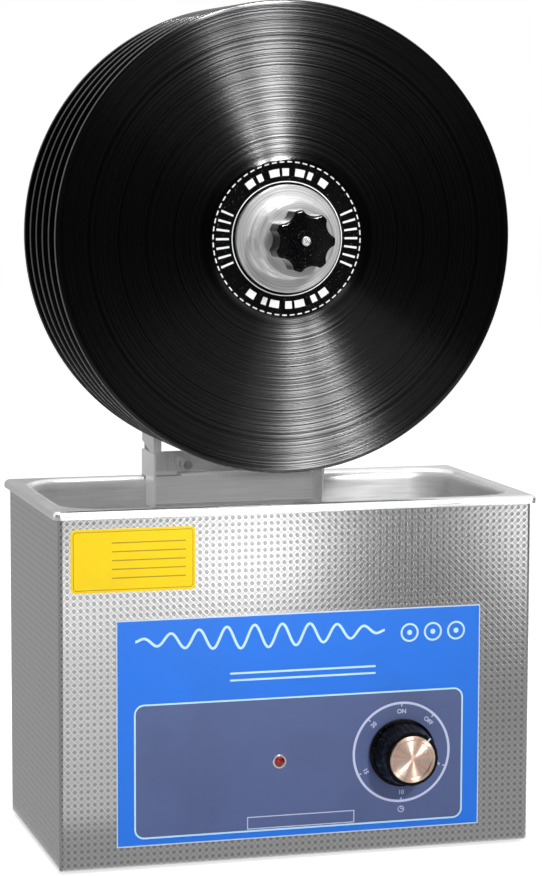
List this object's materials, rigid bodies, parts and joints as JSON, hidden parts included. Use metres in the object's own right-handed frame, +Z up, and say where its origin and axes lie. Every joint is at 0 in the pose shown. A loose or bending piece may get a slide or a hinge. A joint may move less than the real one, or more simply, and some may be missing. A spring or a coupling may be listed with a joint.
{
  "type": "record cleaning machine",
  "caption": "Benchtop ultrasonic bath with a timer dial and a motor-driven rack that lowers and turns vinyl records on a horizontal spindle.",
  "frame": {"origin": "on the surface the machine stands on, under the middle of the casing", "axes": "+Z up, -Y towards the dial side, +X to the right of someone who looks at the dial"},
  "size_m": [0.3232, 0.2166, 0.5526],
  "materials": {
    "casing_steel": "embossed lattice sheet, satin",
    "tank_steel": "bright pressed sheet",
    "base_steel": "plain sheet",
    "foot_rubber": "matte black",
    "screw_steel": "bright zinc",
    "screw_black": "black oxide",
    "transducer_alloy": "turned",
    "piezo_ceramic": "fired ceramic",
    "circuit_board": "green solder mask",
    "transformer_ferrite": "sintered ferrite",
    "capacitor_sleeve": "shrink sleeve",
    "fan_plastic": "moulded black",
    "guard_wire": "plated wire",
    "inlet_plastic": "moulded black",
    "overlay_film": "printed film, blue",
    "label_film": "printed film, yellow",
    "lamp_red": "clear red",
    "lamp_chrome": "plated",
    "knob_black": "moulded black",
    "knob_cap_metal": "spun, copper toned",
    "timer_plastic": "moulded grey",
    "saddle_steel": "folded sheet, satin",
    "mast_steel": "folded sheet, satin",
    "carriage_steel": "folded sheet",
    "slide_polymer": "white bearing polymer",
    "motor_steel": "zinc coated",
    "motor_cover_black": "moulded black",
    "spindle_steel": "ground bar",
    "hub_alloy": "turned",
    "record_vinyl": "grooved black",
    "record_paper": "printed paper label",
    "spacer_polymer": "moulded black",
    "clamp_steel": "spun metal",
    "star_plastic": "moulded black",
    "insert_steel": "turned"
  },
  "bodies": {
    "machine": {"casing": "casing_steel", "base_plate": "base_steel", "rubber_feet": "foot_rubber", "base_screws": "screw_steel", "tank": "tank_steel", "transducer_heads": "transducer_alloy", "piezo_rings": "piezo_ceramic", "transducer_tails": "base_steel", "transducer_bolts": "screw_steel", "generator_board": "circuit_board", "heat_sink": "transducer_alloy", "output_transformer": "transformer_ferrite", "filter_capacitors": "capacitor_sleeve", "fan_frame": "fan_plastic", "fan_guard": "guard_wire", "panel_screws": "screw_steel", "mains_inlet": "inlet_plastic", "front_overlay": "overlay_film", "notice_label": "label_film", "lamp_lens": "lamp_red", "lamp_bezel": "lamp_chrome", "timer_body": "timer_plastic", "saddle_bracket": "saddle_steel", "mast_foot_screws": "screw_steel", "mast_locating_screws": "screw_black", "mast_post_left": "mast_steel", "mast_post_right": "mast_steel", "mast_bridge": "mast_steel", "bridge_screws": "screw_steel"},
    "lift_carriage": {"carriage_plate": "carriage_steel", "slide_shoes": "slide_polymer", "carriage_screws": "screw_steel", "motor_can": "motor_steel", "motor_cover": "motor_cover_black", "motor_socket": "inlet_plastic"},
    "record_stack": {"spindle": "spindle_steel", "output_sleeve": "hub_alloy", "drive_hub": "hub_alloy", "record_1": "record_vinyl", "record_2": "record_vinyl", "record_3": "record_vinyl", "record_4": "record_vinyl", "record_5": "record_vinyl", "record_6": "record_vinyl", "record_labels": "record_paper", "record_spacers": "spacer_polymer"},
    "clamp": {"clamp_cap": "clamp_steel"},
    "clamp_knob": {"star_knob": "star_plastic", "knob_insert": "insert_steel"},
    "lock_washer": {"lift_lock_washer": "screw_steel"},
    "lock_knob": {"lift_lock_knob": "star_plastic"},
    "saddle_foot_left": {"clamp_foot_left": "fan_plastic"},
    "saddle_screw_left": {"thumb_screw_left": "knob_black"},
    "saddle_foot_right": {"clamp_foot_right": "fan_plastic"},
    "saddle_screw_right": {"thumb_screw_right": "knob_black"},
    "timer": {"timer_knob": "knob_black", "timer_knob_cap": "knob_cap_metal", "timer_shaft": "spindle_steel"},
    "fan": {"fan_rotor": "fan_plastic"},
    "fuse_carrier": {"fuse_drawer": "inlet_plastic"}
  },
  "joints": [
    {"name": "carriage_lift", "type": "slide", "parent": "machine", "child": "lift_carriage", "axis": [0, 0, 1], "range_m": [-0.1, 0]},
    {"name": "record_spin", "type": "hinge", "parent": "lift_carriage", "child": "record_stack", "pos_m": [-0.0048, 0, 0.4016], "axis": [0, 1, 0], "continuous": true},
    {"name": "clamp_slide", "type": "slide", "parent": "record_stack", "child": "clamp", "axis": [0, -1, 0], "range_m": [0, 0.008]},
    {"name": "star_knob_turn", "type": "hinge", "parent": "clamp", "child": "clamp_knob", "pos_m": [-0.0048, -0.0985, 0.4016], "axis": [0, -1, 0], "range_deg": [0, 2885]},
    {"name": "lock_washer_slide", "type": "slide", "parent": "lift_carriage", "child": "lock_washer", "axis": [1, 0, 0], "range_m": [0, 0.002]},
    {"name": "lift_lock_turn", "type": "hinge", "parent": "lock_washer", "child": "lock_knob", "pos_m": [0.0652, 0.0649, 0.4016], "axis": [1, 0, 0], "range_deg": [0, 722]},
    {"name": "saddle_foot_left_slide", "type": "slide", "parent": "machine", "child": "saddle_foot_left", "axis": [0, 1, 0], "range_m": [0, 0.005]},
    {"name": "saddle_screw_left_turn", "type": "hinge", "parent": "saddle_foot_left", "child": "saddle_screw_left", "pos_m": [-0.0288, 0.095, 0.212], "axis": [0, 1, 0], "range_deg": [0, 1804]},
    {"name": "saddle_foot_right_slide", "type": "slide", "parent": "machine", "child": "saddle_foot_right", "axis": [0, 1, 0], "range_m": [0, 0.005]},
    {"name": "saddle_screw_right_turn", "type": "hinge", "parent": "saddle_foot_right", "child": "saddle_screw_right", "pos_m": [0.0192, 0.095, 0.212], "axis": [0, 1, 0], "range_deg": [0, 1804]},
    {"name": "timer_turn", "type": "hinge", "parent": "machine", "child": "timer", "pos_m": [0.069, -0.094, 0.0671], "axis": [0, 1, 0], "range_deg": [-43, 272]},
    {"name": "fan_spin", "type": "hinge", "parent": "machine", "child": "fan", "pos_m": [-0.08, 0.075, 0.045], "axis": [0, 1, 0], "continuous": true},
    {"name": "fuse_drawer_slide", "type": "slide", "parent": "machine", "child": "fuse_carrier", "axis": [0, 1, 0], "range_m": [0, 0.015]}
  ],
  "couplings": [
    {"joint": "star_knob_turn", "follows": "clamp_slide", "rad_per_m": 6283.2},
    {"joint": "lift_lock_turn", "follows": "lock_washer_slide", "rad_per_m": 6283.2},
    {"joint": "saddle_screw_left_turn", "follows": "saddle_foot_left_slide", "rad_per_m": 6283.2},
    {"joint": "saddle_screw_right_turn", "follows": "saddle_foot_right_slide", "rad_per_m": 6283.2}
  ]
}
